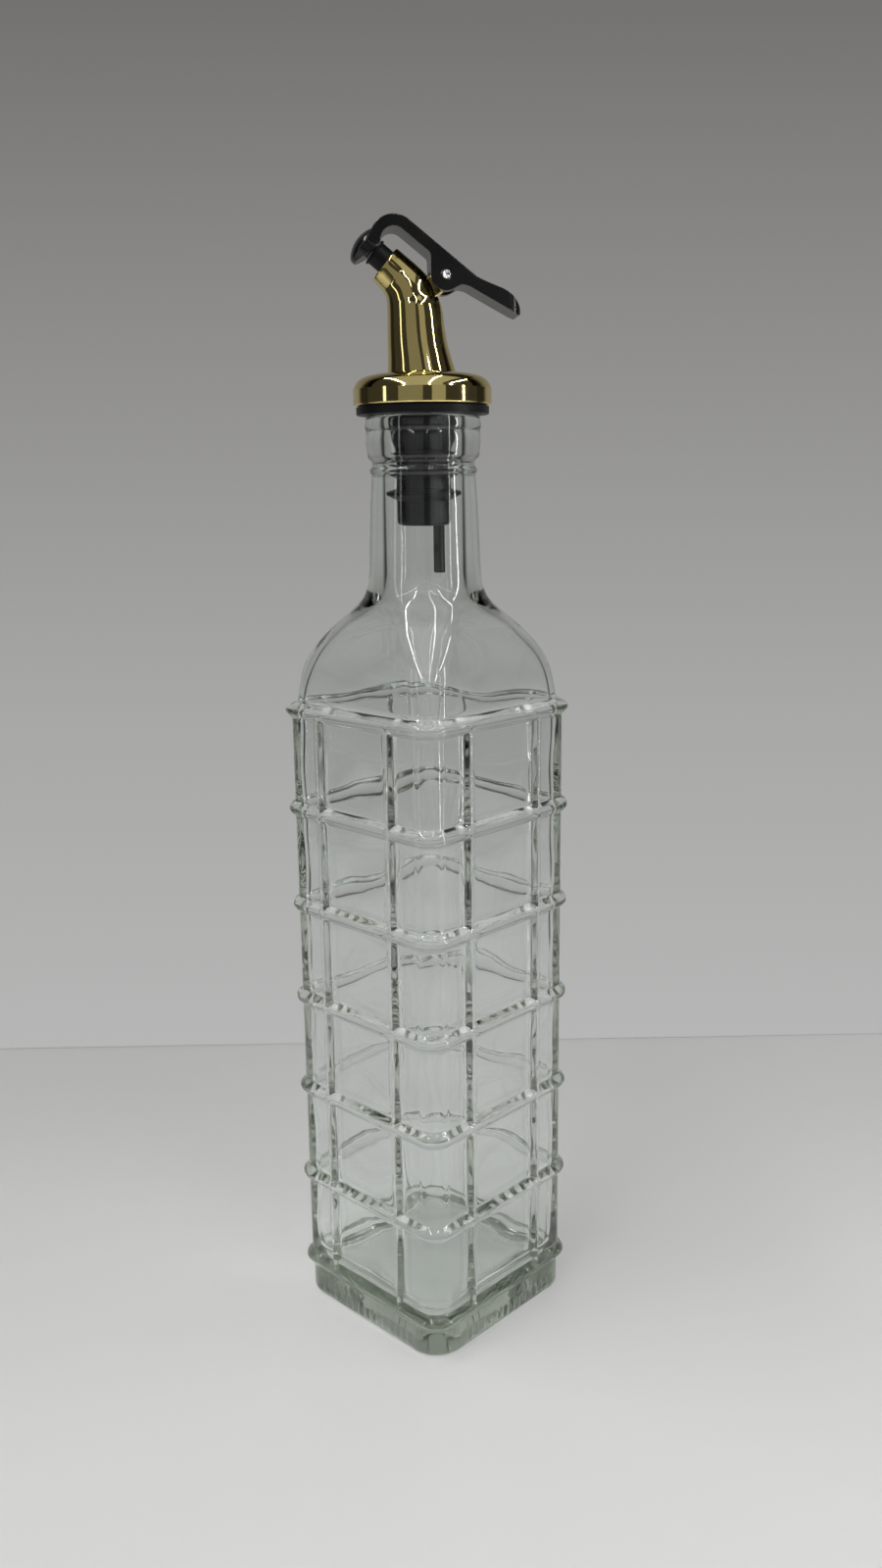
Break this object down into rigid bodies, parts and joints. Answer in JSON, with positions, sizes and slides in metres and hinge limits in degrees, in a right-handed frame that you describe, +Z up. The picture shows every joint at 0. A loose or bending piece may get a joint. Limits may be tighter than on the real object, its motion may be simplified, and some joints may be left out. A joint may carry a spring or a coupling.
{
  "type": "glass oil dispenser bottle",
  "caption": "Square clear glass oil and vinegar bottle embossed with a raised grid, with a gold spout pourer and a black lever cap that flips open.",
  "frame": {"origin": "middle of the base, on the table plane", "axes": "+Z up along the bottle's axis; the flat sides face X and Y; the pourer is turned so that the nozzle points to -X +Y and the thumb tail to +X -Y"},
  "size_m": [0.0614, 0.0614, 0.3168],
  "materials": {
    "clear_glass": "clear pressed glass with a faint grey-green tint",
    "black_soft_plastic": "satin black, slightly soft",
    "gold_plated_plastic": "mirror-bright pale gold plating",
    "black_gloss_plastic": "moulded black, semi-gloss",
    "bright_steel": "bright riveted end"
  },
  "bodies": {
    "bottle": {"glass_bottle": "clear_glass", "stopper": "black_soft_plastic", "spout": "gold_plated_plastic", "nozzle": "black_soft_plastic", "pivot_pin": "bright_steel"},
    "lever": {"lever": "black_gloss_plastic"}
  },
  "joints": [
    {"name": "lever_hinge", "type": "hinge", "parent": "bottle", "child": "lever", "pos_m": [0.00484, -0.00411, 0.3019], "axis": [0.6468, 0.7627, 0], "range_deg": [0, 35]}
  ]
}
